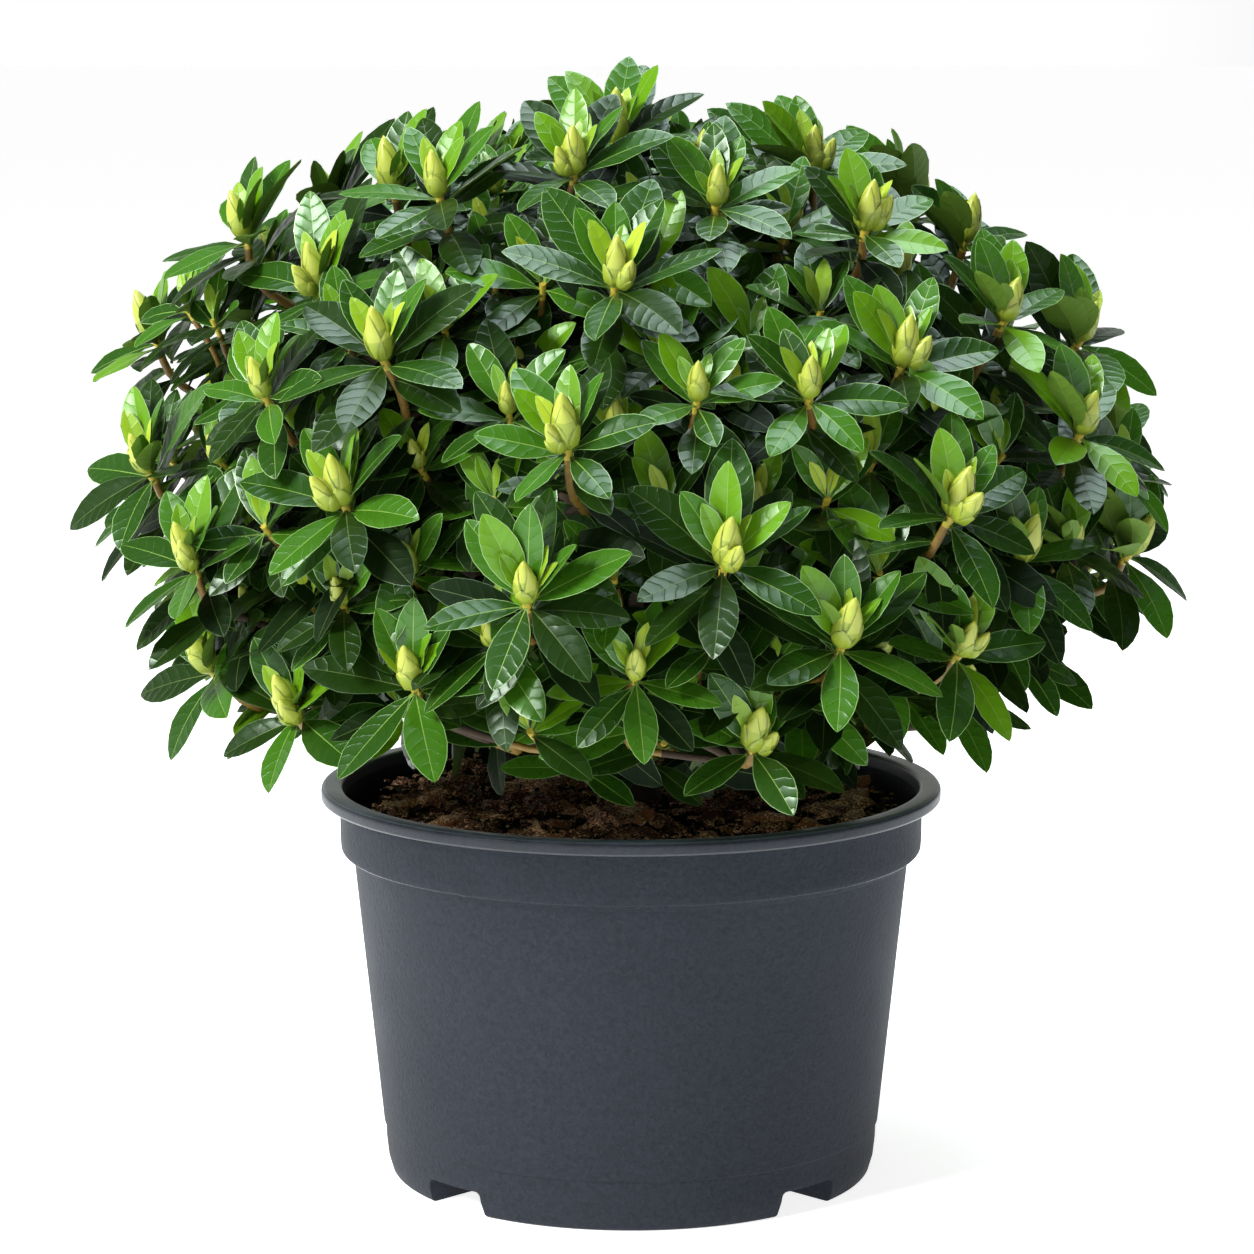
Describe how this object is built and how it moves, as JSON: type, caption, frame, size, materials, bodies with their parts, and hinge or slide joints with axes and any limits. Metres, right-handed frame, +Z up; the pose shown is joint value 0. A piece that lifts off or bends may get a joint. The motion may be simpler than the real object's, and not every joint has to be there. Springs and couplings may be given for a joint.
{
  "type": "potted azalea shrub",
  "caption": "Rounded evergreen azalea shrub with whorled leaves and pointed flower buds, growing in a tapered round nursery pot of bark compost.",
  "frame": {"origin": "middle of the pot's flat underside, on the ground", "axes": "+Z up through the stem; -Y towards the side with the fuller view of the buds, with a foot notch at 45 degrees either side of it"},
  "size_m": [0.5629, 0.539, 0.5466],
  "materials": {
    "pot_plastic": "dark slate grey moulded plastic with a fine leathery grain",
    "compost": "damp dark brown bark and peat compost in lumps",
    "bark": "rough orange-brown bark",
    "foliage": "glossy leathery leaves, dark green to yellow-green"
  },
  "bodies": {
    "root": {"pot": "pot_plastic", "compost": "compost", "stem": "bark", "bough_skirt_1": "bark", "foliage_skirt_1": "foliage", "bough_skirt_2": "bark", "foliage_skirt_2": "foliage", "bough_skirt_3": "bark", "foliage_skirt_3": "foliage", "bough_skirt_4": "bark", "foliage_skirt_4": "foliage", "bough_skirt_5": "bark", "foliage_skirt_5": "foliage", "bough_skirt_6": "bark", "foliage_skirt_6": "foliage", "bough_skirt_7": "bark", "foliage_skirt_7": "foliage", "bough_skirt_8": "bark", "foliage_skirt_8": "foliage", "bough_shoulder_1": "bark", "foliage_shoulder_1": "foliage", "bough_shoulder_2": "bark", "foliage_shoulder_2": "foliage", "bough_shoulder_3": "bark", "foliage_shoulder_3": "foliage", "bough_shoulder_4": "bark", "foliage_shoulder_4": "foliage", "bough_shoulder_5": "bark", "foliage_shoulder_5": "foliage", "bough_shoulder_6": "bark", "foliage_shoulder_6": "foliage", "bough_top_1": "bark", "foliage_top_1": "foliage", "bough_top_2": "bark", "foliage_top_2": "foliage", "bough_top_3": "bark", "foliage_top_3": "foliage"}
  },
  "joints": []
}
